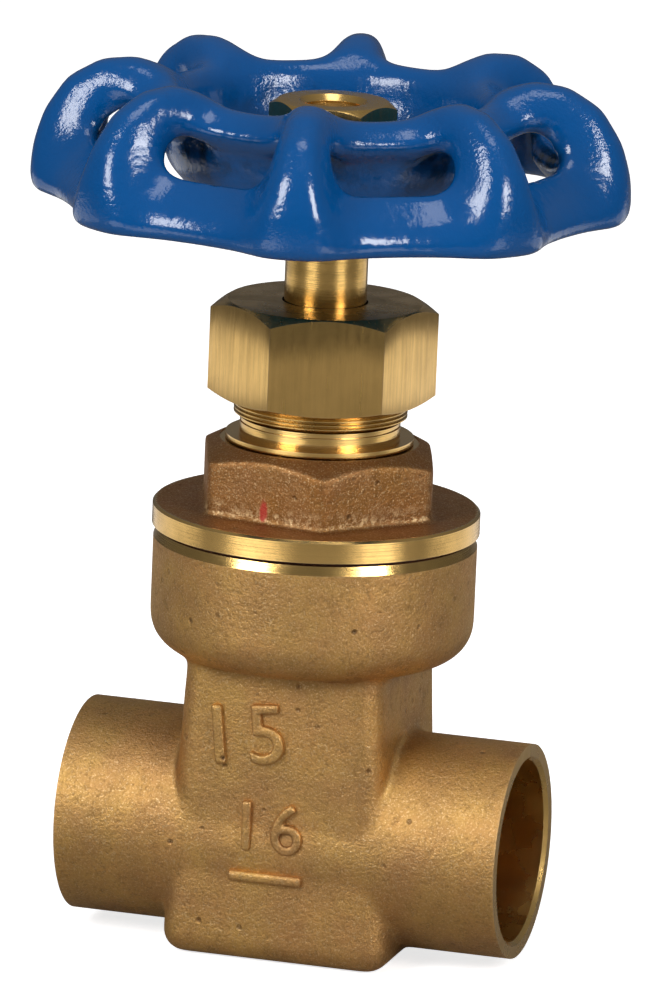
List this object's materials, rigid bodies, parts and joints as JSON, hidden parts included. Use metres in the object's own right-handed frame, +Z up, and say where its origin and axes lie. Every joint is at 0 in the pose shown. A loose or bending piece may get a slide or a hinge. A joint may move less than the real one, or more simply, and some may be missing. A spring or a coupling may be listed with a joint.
{
  "type": "gate valve",
  "caption": "Small bronze gate valve with solder sockets, screwed bonnet, packing nut and lobed handwheel that raises and lowers an inner wedge.",
  "frame": {"origin": "middle of the flat underside of the body, on the stem's axis", "axes": "+Z up along the stem, X along the pipe, +X out of the right socket"},
  "size_m": [0.052, 0.052, 0.0781],
  "materials": {
    "cast_bronze": "sand-cast, fine grain",
    "turned_brass": "turned, satin",
    "blue_enamel": "glossy enamel on a rough casting",
    "graphite_packing": "matt",
    "fibre_gasket": "matt",
    "white_plastic": "smooth"
  },
  "bodies": {
    "valve": {"valve_body": "cast_bronze", "bonnet": "cast_bronze", "bonnet_gasket": "fibre_gasket", "stuffing_box": "turned_brass", "thrust_washer": "white_plastic", "packing_ring_lower": "graphite_packing", "packing_ring_middle": "graphite_packing", "packing_ring_upper": "graphite_packing"},
    "spindle": {"stem": "turned_brass", "handwheel": "blue_enamel", "handwheel_nut": "turned_brass"},
    "wedge": {"wedge_disc": "cast_bronze"},
    "gland": {"packing_gland": "turned_brass"},
    "nut": {"packing_nut": "turned_brass"}
  },
  "joints": [
    {"name": "handwheel_turn", "type": "hinge", "parent": "valve", "child": "spindle", "pos_m": [0, 0, 0.07], "axis": [0, 0, 1], "range_deg": [-2376, 0]},
    {"name": "wedge_lift", "type": "slide", "parent": "valve", "child": "wedge", "axis": [0, 0, 1], "range_m": [-0.0132, 0]},
    {"name": "gland_slide", "type": "slide", "parent": "valve", "child": "gland", "axis": [0, 0, 1], "range_m": [-0.0006001, 0], "deforming": ["packing_ring_lower", "packing_ring_middle", "packing_ring_upper"]},
    {"name": "packing_nut_turn", "type": "hinge", "parent": "gland", "child": "nut", "pos_m": [0, 0, 0.053], "axis": [0, 0, 1], "range_deg": [-172.8, 0]}
  ],
  "couplings": [
    {"joint": "wedge_lift", "follows": "handwheel_turn", "m_per_rad": 0.00031831},
    {"joint": "gland_slide", "follows": "packing_nut_turn", "m_per_rad": 0.00019894}
  ]
}
